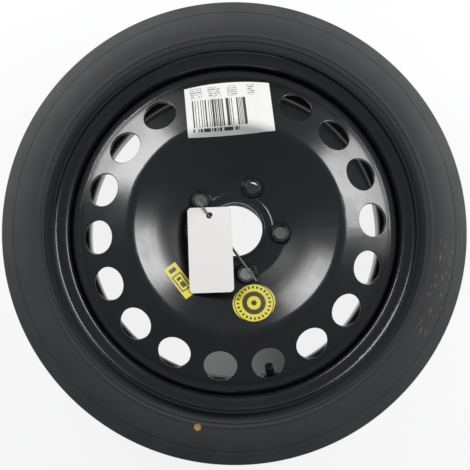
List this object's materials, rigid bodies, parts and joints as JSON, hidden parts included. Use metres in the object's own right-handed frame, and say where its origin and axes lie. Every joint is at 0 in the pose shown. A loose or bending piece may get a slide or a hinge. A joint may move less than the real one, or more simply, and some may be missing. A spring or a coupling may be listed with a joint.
{
  "type": "spare wheel",
  "caption": "Temporary spare wheel: narrow tyre on a dished black pressed-steel wheel with a ring of vent holes, a snap-in valve, a label, stickers and a card tag.",
  "frame": {"origin": "centre of the bolt circle on the hub mounting face", "axes": "+Z along the wheel's axis, pointing outboard; the wheel lies on its inboard side; +Y towards the label"},
  "size_m": [0.567, 0.567, 0.1405],
  "materials": {
    "tyre": "matt moulded rubber",
    "black_paint": "semi-gloss black dip paint",
    "valve_rubber": "moulded black rubber",
    "brass": "turned brass",
    "gasket_plastic": "red sealing plastic",
    "spring_steel": "drawn wire",
    "cap_plastic": "black moulded plastic",
    "label_paper": "coated white paper",
    "yellow_film": "printed yellow film",
    "tag_card": "smooth white card"
  },
  "bodies": {
    "wheel": {"tyre": "tyre", "rim": "black_paint", "wheel_disc": "black_paint", "valve_body": "valve_rubber", "valve_stem": "brass", "core_screw": "brass", "core_barrel": "brass", "core_gasket": "gasket_plastic", "core_spring": "spring_steel", "parts_label": "label_paper", "round_sticker": "yellow_film", "small_sticker": "yellow_film", "card_tag": "tag_card"},
    "pin": {"core_pin": "brass", "core_seal": "valve_rubber"},
    "cap_washer": {"cap_seal": "valve_rubber"},
    "cap": {"valve_cap": "cap_plastic"}
  },
  "joints": [
    {"name": "pin_press", "type": "slide", "parent": "wheel", "child": "pin", "axis": [0.143, -0.5868, -0.797], "range_m": [0, 0.0012], "stiffness_N_per_m": 1500, "springref_m": -0.002, "deforming": ["core_spring"]},
    {"name": "cap_rise", "type": "slide", "parent": "wheel", "child": "cap_washer", "axis": [-0.143, 0.5868, 0.797], "range_m": [0, 0.00635]},
    {"name": "cap_turn", "type": "hinge", "parent": "cap_washer", "child": "cap", "pos_m": [0.04031, -0.16537, 0.00884], "axis": [-0.143, 0.5868, 0.797], "range_deg": [0, 2880]}
  ],
  "couplings": [
    {"joint": "cap_turn", "follows": "cap_rise", "rad_per_m": 7913.3}
  ]
}
